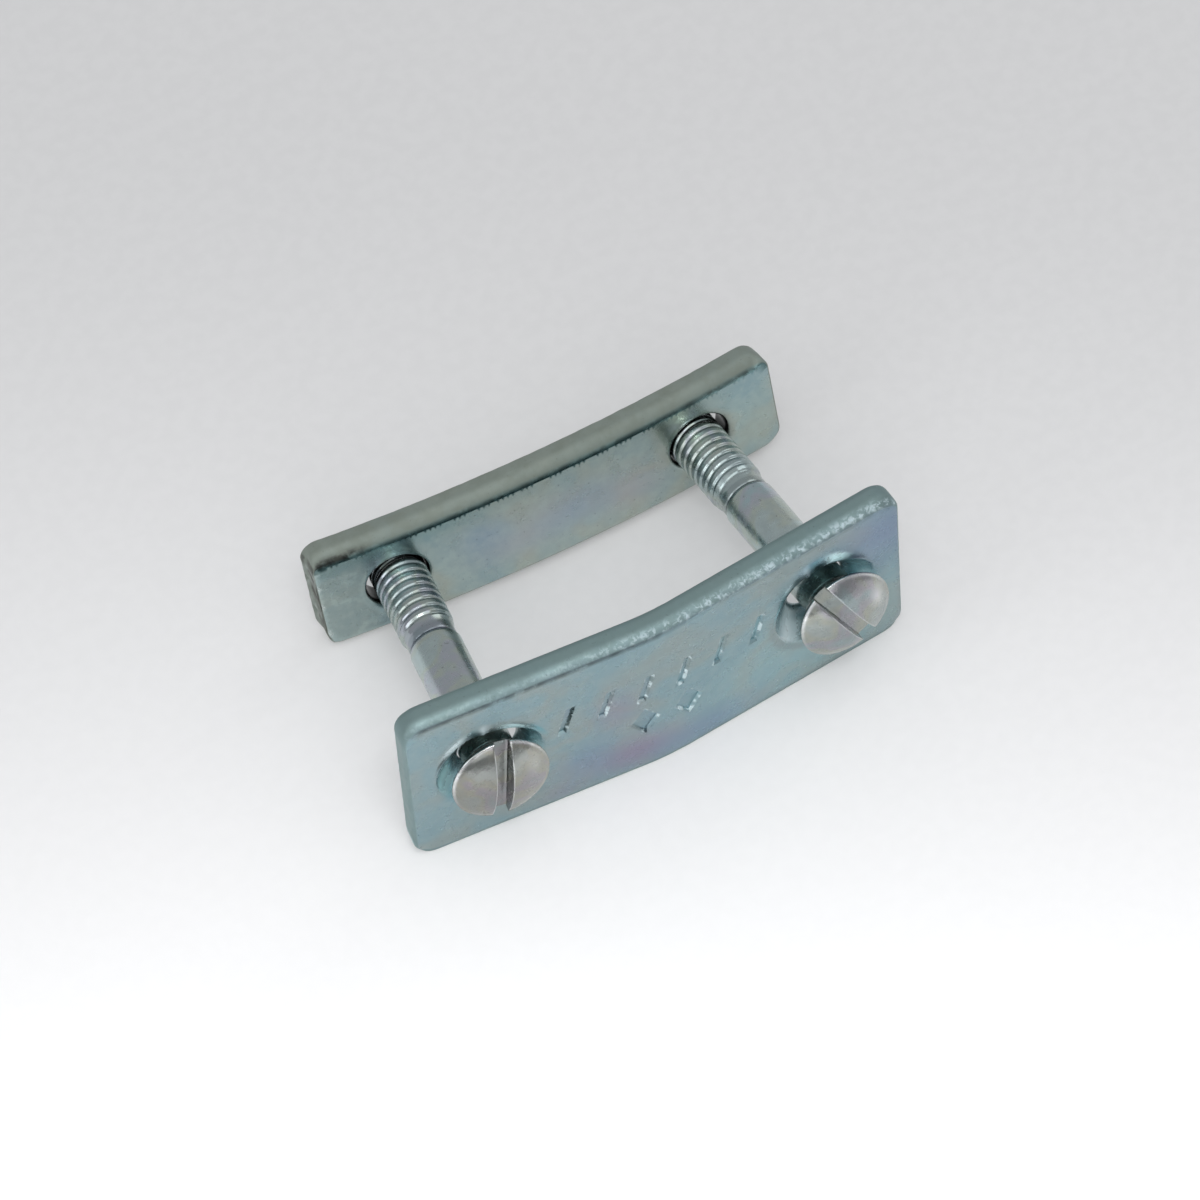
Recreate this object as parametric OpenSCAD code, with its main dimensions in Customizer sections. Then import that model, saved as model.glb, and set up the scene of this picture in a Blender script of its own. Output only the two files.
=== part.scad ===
/* [General] */
// node to draw, or all
// tilt of the rear plate and screws against the upright front plate, degrees
tilt = 12.2; // [0:0.1:20]
// sideways lean of each screw, degrees, heads outward
splay = 5.0; // [0:0.1:8]
// distance from the front plate's face to the rear plate's face, middle, bottom edge
gap = 17.25; // [11:0.1:24]
// sideways shift of the rear plate and screws in the slack of the front holes
shift = 0.75; // [-1.5:0.05:1.5]
// small turn of the rear plate and screws about the upright, degrees
yaw = -1.2; // [-4:0.1:4]
// shift of the whole part so that the origin is at the middle of its box
origin_y = 10.614; // [0:0.001:20]
// height of the rear plate's bottom front edge above the floor
rear_lift = 0.689; // [0:0.001:3]

/* [Front plate] */
// length along the face
front_len = 37.5; // [20:0.1:60]
// width (height as it stands)
front_wid = 17; // [10:0.1:30]
// sheet thickness
front_thk = 1.9; // [1:0.1:4]
// bend angle in the middle, degrees
front_bend = 8.8; // [0:0.1:30]
// corner radius of the outline
front_corner = 1.7; // [0.5:0.1:4]
// hole distance from the middle
front_hole_x = 12.75; // [8:0.05:16]
// clearance hole radius
front_hole_r = 2.4; // [2.2:0.05:3]
// height of the clearance holes against the middle of their countersinks
front_hole_up = -0.6; // [-1:0.05:1]
// sideways place of the left clearance hole against its countersink
front_hole_side_left = 0.27; // [-1:0.01:1]
// sideways place of the right clearance hole against its countersink
front_hole_side_right = 0.49; // [-1:0.01:1]
// countersink radius at the face
dimple_r = 4.1; // [3:0.05:6]
// height of the pressed collar on the back
collar_h = 0.5; // [0:0.05:1.5]
// collar radius where it meets the sheet
collar_r = 4.6; // [3:0.05:6]
// depth of the stamped pattern
stamp_d = 0.18; // [0.05:0.01:0.4]

/* [Rear plate] */
// length along the face
rear_len = 35.2; // [20:0.1:60]
// width (height as it stands)
rear_wid = 8.8; // [6:0.1:20]
// sheet thickness
rear_thk = 2.0; // [1:0.1:4]
// radius of the curved face
rear_bend_r = 140; // [40:1:400]
// corner radius of the outline
rear_corner = 1.4; // [0.3:0.1:4]
// height of the holes against mid-width
hole_drop = -0.4; // [-1:0.05:1]
// tapped hole radius over the thread crests
tapped_r = 2.2; // [1.5:0.01:3]
// how far each tapped hole lies outside its screw's axis, so the screw stays inside it over the travel
tapped_out = 0.206; // [0:0.001:0.5]

/* [Screws] */
// distance between the screw axes at the rear plate's face
screw_pitch = 22.6; // [16:0.1:30]
// thread crest radius (M4)
thread_r = 1.94; // [1.5:0.01:3]
// shank radius
shank_r = 1.86; // [1.2:0.01:3]
// neck radius between thread and shank
neck_r = 1.74; // [1:0.01:3]
// visible thread length in front of the rear plate
thread_vis = 5.85; // [1:0.1:10]
// neck length
neck_len = 0.7; // [0.1:0.05:2]
// length from the tip to the rim plane of the head
screw_len = 22.2; // [12:0.05:40]
// tip of the left screw behind the rear plate's face
tip_left = 2.6; // [1:0.01:6]
// tip of the right screw behind the rear plate's face
tip_right = 2.9; // [1:0.01:6]
// head radius
head_r = 3.45; // [2.5:0.05:5]
// straight rim of the head
rim_h = 0.22; // [0.05:0.01:0.6]
// dome height above the rim
dome_h = 0.95; // [0.3:0.05:2]
// slot width
slot_w = 1.15; // [0.6:0.05:2]
// slot depth below the top of the dome
slot_d = 1.45; // [0.6:0.05:2.5]
// slot direction of the left screw, degrees
slot_left = 80; // [-90:1:90]
// slot direction of the right screw, degrees
slot_right = -64; // [-90:1:90]

/* [Hidden] */
$fn = 96;
fb = front_bend / 2;
front_hole_u = front_hole_x / cos(fb);
// the rear plate's face where the screw axes meet it
ry = rear_bend_r - sqrt(rear_bend_r * rear_bend_r - screw_pitch * screw_pitch / 4);
rz = rear_wid / 2 + hole_drop;
dome_sphere = (head_r * head_r + dome_h * dome_h) / (2 * dome_h);

front_plate();
rear_plate();
screw_left();
screw_right();

// moves a shape from the tilted frame of the rear plate and screws into the part's frame
module tilted() {
    translate([shift, gap - origin_y, rear_lift]) rotate([-tilt, 0, 0]) rotate([0, 0, yaw]) children();
}

// outline of one wing, seen from the front, with its two outer corners rounded
module wing_outline(len, wid, rc) {
    square([len - rc, wid]);
    translate([0, rc]) square([len, wid - 2 * rc]);
    translate([len - rc, rc]) circle(r = rc);
    translate([len - rc, wid - rc]) circle(r = rc);
}

// front plate's sheet: two flat wings that meet in the middle
module front_sheet() {
    for (side = [0, 1]) mirror([side, 0, 0]) intersection() {
        on_front_wing() translate([-3, 0, -front_thk]) linear_extrude(height = front_thk) wing_outline(front_len / 2 + 3, front_wid, front_corner);
        translate([0, -5, -5]) cube([40, 20, front_wid + 10]);
    }
}

// rear plate's sheet: one even curve, blanked square to its ends
module rear_sheet() {
    h = rear_len / 2 / rear_bend_r * 180 / PI;
    intersection() {
        translate([0, rear_bend_r, -1]) rotate([0, 0, 270 - h - 1])
            rotate_extrude(angle = 2 * h + 2, $fn = 360) translate([rear_bend_r - rear_thk, 0]) square([rear_thk, rear_wid + 2]);
        union() for (side = [0, 1]) mirror([side, 0, 0])
            translate([rear_bend_r * sin(h), rear_bend_r * (1 - cos(h)), 0]) rotate([0, 0, h]) rotate([90, 0, 0])
                translate([-rear_len / 2 - 2, 0, -6]) linear_extrude(height = 12) wing_outline(rear_len / 2 + 2, rear_wid, rear_corner);
    }
}

// puts a shape on the front plate's right wing: x along the wing, y up, z out of the face
module on_front_wing() {
    rotate([0, 0, fb]) rotate([90, 0, 0]) children();
}

// plain slanted bar
module bar(w, h, lean) {
    linear_extrude(height = 1)
        polygon([[-w / 2 - lean, -h / 2], [w / 2 - lean, -h / 2], [w / 2 + lean, h / 2], [-w / 2 + lean, h / 2]]);
}

// plain pattern stamped into the face: a row of slanted bars over two lozenges
module stamp() {
    for (i = [0 : 2]) {
        on_front_wing() translate([1.45 + i * 2.9, front_wid / 2 + 1.8, -stamp_d]) bar(0.6, 3, 0.4);
        mirror([1, 0, 0]) on_front_wing() translate([1.45 + i * 2.9, front_wid / 2 + 1.8, -stamp_d]) bar(0.6, 3, -0.4);
    }
    for (side = [0, 1]) mirror([side, 0, 0]) on_front_wing()
        translate([1.65, front_wid / 2 - 2.4, -stamp_d]) linear_extrude(height = 1)
            polygon([[-1.05, 0], [0, -1.6], [1.05, 0], [0, 1.6]]);
}

module front_plate() {
    color([0.56, 0.63, 0.66]) translate([0, -origin_y, 0]) difference() {
        union() {
            front_sheet();
            // low pressed collars on the back
            for (side = [0, 1]) mirror([side, 0, 0]) on_front_wing()
                translate([front_hole_u, front_wid / 2, -front_thk - collar_h])
                    cylinder(r1 = collar_r - 0.8, r2 = collar_r, h = collar_h + 0.2);
        }
        for (side = [0, 1]) mirror([side, 0, 0]) on_front_wing() translate([front_hole_u, front_wid / 2, 0]) {
            // the screws stand off the middle of the countersinks, and the holes with them
            translate([side == 0 ? front_hole_side_right : -front_hole_side_left, front_hole_up, -front_thk - collar_h - 1])
                cylinder(r = front_hole_r, h = front_thk + collar_h + 2);
            translate([0, 0, -(dimple_r - front_hole_r)])
                cylinder(r1 = front_hole_r, r2 = dimple_r + 0.5, h = dimple_r - front_hole_r + 0.5);
        }
        stamp();
    }
}

module rear_plate() {
    color([0.55, 0.60, 0.58]) tilted() difference() {
        rear_sheet();
        for (side = [-1, 1])
            translate([side * (screw_pitch / 2 + tapped_out), ry, rz]) rotate([0, 0, side * splay]) rotate([90, 0, 0]) {
                translate([0, 0, -rear_thk - 1.5]) cylinder(r = tapped_r, h = rear_thk + 3);
                translate([0, 0, -0.22]) cylinder(r1 = tapped_r, r2 = tapped_r + 0.6, h = 0.6);
            }
    }
}

// slotted raised countersunk screw along z: z = 0 at the rear plate's face, head up
module belt_screw(slot, tip_len) {
    head_at = screw_len - tip_len;
    difference() {
        union() {
            // thread, drawn at its crests, with a bevelled tip
            translate([0, 0, -tip_len + 0.4]) cylinder(r = thread_r, h = tip_len - 0.4 + thread_vis - 0.2);
            translate([0, 0, -tip_len]) cylinder(r1 = thread_r - 0.4, r2 = thread_r, h = 0.4);
            translate([0, 0, thread_vis - 0.2]) cylinder(r1 = thread_r, r2 = neck_r, h = 0.2);
            // neck and shank
            translate([0, 0, thread_vis]) cylinder(r = neck_r, h = neck_len);
            translate([0, 0, thread_vis + neck_len]) cylinder(r1 = shank_r - 0.12, r2 = shank_r, h = 0.3);
            translate([0, 0, thread_vis + neck_len + 0.3]) cylinder(r = shank_r, h = head_at - thread_vis - neck_len - 0.3 - rim_h - (head_r - shank_r));
            // head: countersunk cone, straight rim, low dome
            translate([0, 0, head_at - rim_h - (head_r - shank_r)]) cylinder(r1 = shank_r, r2 = head_r, h = head_r - shank_r);
            translate([0, 0, head_at - rim_h]) cylinder(r = head_r, h = rim_h);
            intersection() {
                translate([0, 0, head_at + dome_h - dome_sphere]) sphere(r = dome_sphere);
                translate([0, 0, head_at]) cylinder(r = head_r, h = dome_h + 1);
            }
        }
        translate([0, 0, head_at]) rotate([0, 0, slot])
            translate([-head_r - 1, -slot_w / 2, dome_h - slot_d]) cube([2 * head_r + 2, slot_w, slot_d + 1]);
    }
}

module placed_screw(side, slot, tip_len) {
    color([0.72, 0.72, 0.70]) tilted() translate([side * screw_pitch / 2, ry, rz])
        rotate([0, 0, side * splay]) rotate([90, 0, 0]) belt_screw(slot, tip_len);
}

module screw_left() { placed_screw(-1, slot_left, tip_left); }
module screw_right() { placed_screw(1, slot_right, tip_right); }
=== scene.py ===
import bpy, bmesh, math
from mathutils import Matrix, Vector, noise
from mathutils.geometry import delaunay_2d_cdt


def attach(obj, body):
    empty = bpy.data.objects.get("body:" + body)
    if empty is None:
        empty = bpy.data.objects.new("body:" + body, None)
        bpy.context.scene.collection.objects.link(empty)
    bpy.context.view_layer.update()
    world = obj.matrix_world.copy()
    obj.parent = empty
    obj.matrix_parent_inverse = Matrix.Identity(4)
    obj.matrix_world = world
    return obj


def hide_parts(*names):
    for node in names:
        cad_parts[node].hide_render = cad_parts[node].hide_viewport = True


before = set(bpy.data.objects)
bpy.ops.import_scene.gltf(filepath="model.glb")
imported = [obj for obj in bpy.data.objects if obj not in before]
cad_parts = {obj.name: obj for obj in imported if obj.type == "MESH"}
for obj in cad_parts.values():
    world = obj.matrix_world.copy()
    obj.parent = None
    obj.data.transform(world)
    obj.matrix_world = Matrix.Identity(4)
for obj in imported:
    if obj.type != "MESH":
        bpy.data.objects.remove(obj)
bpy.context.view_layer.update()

MM = 0.001

# values of the CAD part, in mm and degrees
TILT, SPLAY, GAP, SHIFT, YAW, ORIGIN_Y, LIFT = 12.2, 5.0, 17.25, 0.75, -1.2, 10.614, 0.689
FRONT_HALF, FRONT_W, FRONT_T, FRONT_RC = 18.748, 17.0, 1.9, 1.7
WING = math.radians(4.4)
BEND_R = 24.0
HOLE_U, HOLE_V = 12.788, 8.5
REAR_HALF, REAR_W, REAR_T, REAR_RC, REAR_R = 17.6, 8.8, 2.0, 1.4, 140.0
PITCH_X, REAR_V = 11.3, 4.0
TAP_S = REAR_R * math.asin((PITCH_X + 0.206) / REAR_R)


def turn(deg, axis):
    return Matrix.Rotation(math.radians(deg), 4, axis)


TILTED = Matrix.Translation((SHIFT, GAP - ORIGIN_Y, LIFT)) @ turn(-TILT, "X") @ turn(YAW, "Z")


def n1(x, y, z=0.0):
    """Smooth noise, about -1 to 1."""
    return noise.noise(Vector((x, y, z)))


def smooth(a, b, x):
    t = min(1.0, max(0.0, (x - a) / (b - a)))
    return t * t * (3 - 2 * t)


# ---------------------------------------------------------------- meshes

def make(name, verts, faces, masks, body, node, mat, sharp=38):
    """One closed mesh from points in mm, with per-point masks, riding on its body in place of the CAD node."""
    me = bpy.data.meshes.new(name)
    me.from_pydata([(x * MM, y * MM, z * MM) for x, y, z in verts], [], faces)
    for key, values in masks.items():
        at = me.attributes.new(key, "FLOAT", "POINT")
        at.data.foreach_set("value", values)
    bm = bmesh.new()
    bm.from_mesh(me)
    bmesh.ops.remove_doubles(bm, verts=bm.verts, dist=2e-7)
    bmesh.ops.dissolve_degenerate(bm, edges=bm.edges, dist=1e-7)
    bmesh.ops.recalc_face_normals(bm, faces=bm.faces)
    if bm.calc_volume(signed=True) < 0:
        bmesh.ops.reverse_faces(bm, faces=bm.faces)
    for f in bm.faces:
        f.smooth = True
    limit = math.radians(sharp)
    for e in bm.edges:
        e.smooth = not (len(e.link_faces) == 2 and e.calc_face_angle(0.0) > limit)
    open_edges = sum(1 for e in bm.edges if len(e.link_faces) != 2)
    bm.to_mesh(me)
    bm.free()
    obj = bpy.data.objects.new(name, me)
    bpy.context.scene.collection.objects.link(obj)
    obj.data.materials.append(mat)
    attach(obj, body)
    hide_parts(node)
    print(name, "vertices", len(me.vertices), "faces", len(me.polygons), "open edges", open_edges)
    return obj


def outline(half, wid, rc, step, arc=10):
    """Rounded rectangle, counter-clockwise from the front: points with inward normals."""
    pts = []

    def line(x0, y0, x1, y1, nx, ny):
        n = max(2, int(round(math.hypot(x1 - x0, y1 - y0) / step)))
        for i in range(n):
            t = i / n
            pts.append((x0 + (x1 - x0) * t, y0 + (y1 - y0) * t, nx, ny))

    def corner(cx, cy, a0):
        for i in range(arc):
            a = math.radians(a0 + 90 * i / arc)
            pts.append((cx + rc * math.cos(a), cy + rc * math.sin(a), -math.cos(a), -math.sin(a)))

    line(-half + rc, 0, half - rc, 0, 0, 1)
    corner(half - rc, rc, -90)
    line(half, rc, half, wid - rc, -1, 0)
    corner(half - rc, wid - rc, 0)
    line(half - rc, wid, -half + rc, wid, 0, -1)
    corner(-half + rc, wid - rc, 90)
    line(-half, wid - rc, -half, rc, 1, 0)
    corner(-half + rc, rc, 180)
    return pts


def plate_mesh(half, wid, thk, rc, rim, holes, hole_profile, face_w, back_w, fine, grid, step, rim_bump, ring_bump):
    """A closed sheet in (u, v, w): w = 0 on the face and -thk on the back. rim is a list of (inset, w). thk is not
    used; back_w gives the back.
    """
    verts, faces, kinds = [], [], []

    def add(u, v, w, kind):
        verts.append((u, v, w))
        kinds.append(kind)
        return len(verts) - 1

    pts = outline(half, wid, rc, step)
    loops = []
    for k, (d, w) in enumerate(rim):
        loop = []
        for i, (u, v, nu, nv) in enumerate(pts):
            dd, ww = rim_bump(u, v, nu, nv, k, d, w)
            loop.append(add(u + nu * dd, v + nv * dd, ww, ("rim", k)))
        loops.append(loop)
    n = len(pts)
    for a, b in zip(loops, loops[1:]):
        for i in range(n):
            j = (i + 1) % n
            faces.append((a[i], b[i], b[j], a[j]))
    hole_loops = []
    m = 96
    for h, (cu, cv) in enumerate(holes):
        rings = []
        for k, (r, w) in enumerate(p[:2] for p in hole_profile):
            ring = []
            for i in range(m):
                a = 2 * math.pi * i / m
                rr, ww, du, dv = ring_bump(h, a, k, r, w)
                ring.append(add(cu + du + rr * math.cos(a), cv + dv + rr * math.sin(a), ww, ("hole", k)))
            rings.append(ring)
        for a, b in zip(rings, rings[1:]):
            for i in range(m):
                j = (i + 1) % m
                faces.append((a[i], a[j], b[j], b[i]))
        hole_loops.append(rings)

    def fill(outer, inner, height, kind, fine_points, g, flip):
        loops_in = [outer] + inner
        co, edges, ids, owner = [], [], [], []
        for li, loop in enumerate(loops_in):
            base = len(co)
            for q in loop:
                co.append(Vector(verts[q][:2]))
                ids.append(q)
                owner.append(li)
            edges += [(base + i, base + (i + 1) % len(loop)) for i in range(len(loop))]
        inset = max(abs(verts[outer[0]][1]), 0.05) + g * 0.45
        lo = [min(c.x for c in co), min(c.y for c in co)]
        hi = [max(c.x for c in co), max(c.y for c in co)]

        def free(u, v):
            x = max(abs(u - (lo[0] + hi[0]) / 2) - ((hi[0] - lo[0]) / 2 - g * 0.45 - rc), 0.0)
            y = max(abs(v - (lo[1] + hi[1]) / 2) - ((hi[1] - lo[1]) / 2 - g * 0.45 - rc), 0.0)
            if math.hypot(x, y) > rc:
                return False
            for (cu, cv), loop in zip(holes, inner):
                if math.hypot(u - cu, v - cv) < 7.5:
                    q = loop[int(round(math.atan2(v - cv, u - cu) / (2 * math.pi) * m)) % m]
                    if math.hypot(u - cu, v - cv) < math.hypot(verts[q][0] - cu, verts[q][1] - cv) + g * 0.4:
                        return False
            return True

        def within(loop, x, y):
            hit = False
            for a, b in zip(loop, loop[1:] + loop[:1]):
                (xa, ya), (xb, yb) = verts[a][:2], verts[b][:2]
                if (ya > y) != (yb > y) and x < xa + (y - ya) * (xb - xa) / (yb - ya):
                    hit = not hit
            return hit

        extra = [p for p in fine_points if free(*p)]
        near = {(round(u / g), round(v / g)) for u, v in extra}
        rows = int((hi[1] - lo[1]) / (g * 0.866)) + 1
        for r in range(rows):
            v = lo[1] + r * g * 0.866
            u = lo[0] + (g / 2 if r % 2 else 0)
            while u < hi[0]:
                if (round(u / g), round(v / g)) not in near and free(u, v):
                    extra.append((u, v))
                u += g
        for u, v in extra:
            co.append(Vector((u, v)))
            ids.append(None)
            owner.append(-1)
        out = delaunay_2d_cdt(co, edges, [], 0, 1e-6)
        vc, tris, orig = out[0], out[2], out[3]
        here = []
        for c, o in zip(vc, orig):
            src = o[0] if o else None
            if src is not None and ids[src] is not None:
                here.append((ids[src], owner[src]))
            else:
                here.append((add(c[0], c[1], height(c[0], c[1]), kind), -1))
        for t in tris:
            own = {here[i][1] for i in t}
            if len(own) == 1 and -1 not in own:
                # all three corners on one loop: keep it only where there is sheet
                li = own.pop()
                cx, cy = sum(vc[i][0] for i in t) / 3, sum(vc[i][1] for i in t) / 3
                if within(loops_in[li], cx, cy) != (li == 0):
                    continue
            f = [here[i][0] for i in t]
            faces.append(tuple(reversed(f)) if flip else tuple(f))

    fill(loops[0], [r[0] for r in hole_loops], face_w, ("face", 0), fine, grid, False)
    fill(loops[-1], [r[-1] for r in hole_loops], back_w, ("back", 0), [], grid * 1.6, True)
    return verts, faces, kinds


def rolled(inset, depth, first, n):
    """Rounded edge that starts with a slight crease."""
    t0 = math.radians(first)
    out = []
    for k in range(n + 1):
        t = t0 + (math.pi / 2 - t0) * k / n
        out.append((inset * (1 - math.sin(t)) / (1 - math.sin(t0)), -depth * (math.cos(t0) - math.cos(t)) / math.cos(t0)))
    return out


# ------------------------------------------------ stamped pattern: row of slanted bars over two lozenges
BARS = [(s * (1.45 + i * 2.9), 10.3) for s in (-1, 1) for i in range(3)]
LOZENGES = [(-1.65, 6.1), (1.65, 6.1)]


def stamp_distance(u, v):
    """Distance to the nearest stamped shape, negative inside."""
    best = 9.0
    if 4.0 < v < 12.4 and abs(u) < 8.6:
        for cu, cv in BARS:
            if abs(u - cu) < 1.6:
                y = v - cv
                x = u - cu - y * 0.4 / 1.5
                dx, dy = abs(x) * 0.966 - 0.29, abs(y) - 1.5
                d = max(dx, dy) if max(dx, dy) < 0 or min(dx, dy) < 0 else math.hypot(dx, dy)
                best = min(best, d)
        for cu, cv in LOZENGES:
            if abs(u - cu) < 2 and abs(v - cv) < 2.4:
                x, y = abs(u - cu), abs(v - cv)
                best = min(best, (x * 1.6 + y * 1.05 - 1.05 * 1.6) / math.hypot(1.6, 1.05))
    return best


def stamp_height(u, v):
    d = stamp_distance(u, v)
    if d > 0.5:
        return 0.0
    deep = -0.215 * min(1.0, max(0.0, (0.03 - d) / 0.15))
    sink = -0.02 * smooth(0.34, 0.0, d)
    floor = 0.012 * n1(u * 2.1, v * 2.1, 4.0) if d < -0.12 else 0.0
    return deep + sink + floor


def ring_of(corners, off, step):
    """Points round a convex shape, moved out by off."""
    n = len(corners)
    lines = []
    for i in range(n):
        (x0, y0), (x1, y1) = corners[i], corners[(i + 1) % n]
        l = math.hypot(x1 - x0, y1 - y0)
        nx, ny = (y1 - y0) / l, -(x1 - x0) / l
        lines.append((x0 + nx * off, y0 + ny * off, (x1 - x0) / l, (y1 - y0) / l))
    at = []
    for i in range(n):
        ax, ay, adx, ady = lines[i - 1]
        bx, by, bdx, bdy = lines[i]
        t = ((bx - ax) * bdy - (by - ay) * bdx) / (adx * bdy - ady * bdx)
        at.append((ax + adx * t, ay + ady * t))
    pts = []
    for i in range(n):
        (x0, y0), (x1, y1) = at[i], at[(i + 1) % n]
        k = max(1, int(round(math.hypot(x1 - x0, y1 - y0) / step)))
        pts += [(x0 + (x1 - x0) * j / k, y0 + (y1 - y0) * j / k) for j in range(k)]
    return pts


def fine_stamp_points():
    """Rows of points along the stamped outlines, so that every wall is one clean strip."""
    pts = []
    shapes = []
    for cu, cv in BARS:
        shapes.append([(cu - 0.3 - 0.4, cv - 1.5), (cu + 0.3 - 0.4, cv - 1.5), (cu + 0.3 + 0.4, cv + 1.5), (cu - 0.3 + 0.4, cv + 1.5)])
    for cu, cv in LOZENGES:
        shapes.append([(cu - 1.05, cv), (cu, cv - 1.6), (cu + 1.05, cv), (cu, cv + 1.6)])
    for corners in shapes:
        for off in (0.34, 0.2, 0.1, 0.03, -0.02, -0.07, -0.12, -0.17):
            pts += ring_of(corners, off, 0.09)
    g = 0.13
    for r in range(int(9.0 / g)):
        v = 3.9 + r * g
        for c in range(int(17.6 / g)):
            u = -8.8 + c * g + (g / 2 if r % 2 else 0)
            if stamp_distance(u, v) < -0.21:
                pts.append((u, v))
    return pts


# ------------------------------------------------ front plate

def front_place(u, v, w):
    a = abs(u)
    s0 = BEND_R * WING
    top = -ORIGIN_Y + BEND_R * (1 / math.cos(WING) - 1)
    if a <= s0:
        p = a / BEND_R
        x, y = BEND_R * math.sin(p), top + BEND_R * (1 - math.cos(p))
    else:
        p = WING
        x = BEND_R * math.sin(WING) + (a - s0) * math.cos(WING)
        y = top + BEND_R * (1 - math.cos(WING)) + (a - s0) * math.sin(WING)
    x += w * math.sin(p)
    y -= w * math.cos(p)
    return (math.copysign(x, u) if u else 0.0, y, v)


FRONT_RIM = rolled(0.50, 0.84, 22, 8) + [(0.0, -0.97), (0.012, -1.12), (0.02, -1.3), (0.03, -1.5), (0.06, -1.67), (0.12, -1.79), (0.21, -1.87), (0.33, -1.9)]


LOW_EDGE = [(0.5, 0.0), (0.43, -0.005), (0.36, -0.013), (0.29, -0.023), (0.22, -0.036), (0.15, -0.053), (0.09, -0.08), (0.04, -0.13), (0.0, -0.25)]


def front_rim_bump(u, v, nu, nv, k, d, w):
    end = smooth(0.5, 0.95, abs(nu))
    low = smooth(0.25, 0.9, nv)
    if k < 9:
        d, w = d * (1 - 0.45 * end), w * (1 - 0.45 * end)
        d, w = d + (LOW_EDGE[k][0] - d) * low, w + (LOW_EDGE[k][1] - w) * low
    if k == 0:
        return d + 0.03 * n1(u * 1.3, v * 1.3, 2.0), 0.0
    if k < 9:
        top = smooth(0.2, 0.9, -nv)
        amp = 0.030 * math.sin(math.pi * k / 9) * (0.4 + 0.8 * top * smooth(-16, 4, u))
        b = amp * (n1(u * 1.9, v * 1.9, k * 0.12) + 0.8 * n1(u * 4.2, v * 4.2, 9 + k * 0.15))
        return max(0.0, d + abs(b)), min(w + b * 0.5, 0.0)
    if k < 13:
        return max(0.0, d + 0.016 * abs(n1(u * 4.0, v * 4.0, k * 0.6))), w
    return max(0.0, d + 0.02 * n1(u * 1.6, v * 1.6, 5.0)), w


# the countersink is pressed into the sheet: rolled lip, cone, hole, low collar on the back. Each ring is (part of the way over the lip or radius, w, how far it has moved towards the screw)
LIP = [(i / 9, -0.34 * (i / 9) ** 3.2, 0) for i in range(10)]
FRONT_HOLE = LIP + [(3.67, -0.45, 0), (3.55, -0.60, 0), (3.36, -0.82, 0.05), (3.14, -1.05, 0.15), (2.92, -1.28, 0.35), (2.70, -1.52, 0.6), (2.48, -1.76, 0.82), (2.30, -1.95, 0.94), (2.19, -2.08, 1), (2.16, -2.17, 1),
                    (2.16, -2.26, 1), (2.2, -2.33, 1), (2.3, -2.38, 1), (2.5, -2.395, 0.9), (3.05, -2.395, 0.5), (3.55, -2.395, 0.1), (3.76, -2.37, 0), (3.88, -2.3, 0), (4.05, -2.17, 0), (4.28, -2.03, 0),
                    (4.5, -1.94, 0), (4.72, -1.9, 0)]
SHIFT_HOLE = [(0.53, -0.60), (0.27, -0.70)]


def peak(deg, at, wide):
    d = (deg - at + 180) % 360 - 180
    return math.exp(-(d / wide) ** 2)


def lip_radii(h, deg):
    """Where the lip begins on the face and where the cone begins; the upper left of each countersink is drawn out."""
    if h == 0:
        return 4.45 + 1.45 * peak(deg, 98, 40), 3.72 + 0.38 * peak(deg, 112, 28)
    return 4.5 + 2.25 * peak(deg, 100, 33), 3.78 + 0.62 * peak(deg, 114, 42)


def front_ring_bump(h, a, k, r, w):
    t = FRONT_HOLE[k][2]
    du, dv = SHIFT_HOLE[h][0] * t, SHIFT_HOLE[h][1] * t
    deg = math.degrees(a)
    if k < 17:
        outer, inner = lip_radii(h, deg)
        q = 0.07 * n1(math.cos(a) * 1.7 + 5 * h, math.sin(a) * 1.7, 3.0) + 0.035 * n1(math.cos(a) * 6 + 9 * h, math.sin(a) * 6, 7.0)
        # a notch in the upper left of the lip
        c = (93, 106)[h]
        if k < 10:
            q *= math.sin(math.pi * min(1.0, r + 0.25))
            r = outer + (inner - outer) * r + q - 0.22 * peak(deg, c, 3.5) * smooth(0.4, 0.9, r)
            w -= 0.04 * peak(deg, c + 9, 6) * smooth(0.2, 0.6, k / 9) * (1 - smooth(0.8, 1.0, k / 9))
        else:
            r += (inner - 3.76) * smooth(17, 10, k) ** 0.6 + q * smooth(14, 9, k) * 0.6
        return r, w, du, dv
    return r, w, du, dv


def front_face_w(u, v):
    return stamp_height(u, v) + 0.0 - 0.006 * abs(n1(u * 0.35, v * 0.35, 1.0))


def back_front_w(u, v):
    return -FRONT_T + 0.006 * abs(n1(u * 0.4, v * 0.4, 6.0))


# ------------------------------------------------ rear plate

def rear_place(u, v, w):
    p = u / REAR_R
    q = TILTED @ Vector((REAR_R * math.sin(p) + w * math.sin(p), REAR_R * (1 - math.cos(p)) - w * math.cos(p), v))
    return tuple(q)


# a crease, then one soft roll into the sheared wall
REAR_RIM = rolled(0.95, 1.0, 46, 8) + [(0.0, -1.1), (0.012, -1.2), (0.02, -1.32), (0.03, -1.48), (0.05, -1.67), (0.09, -1.82), (0.16, -1.93), (0.28, -2.0)]


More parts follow.
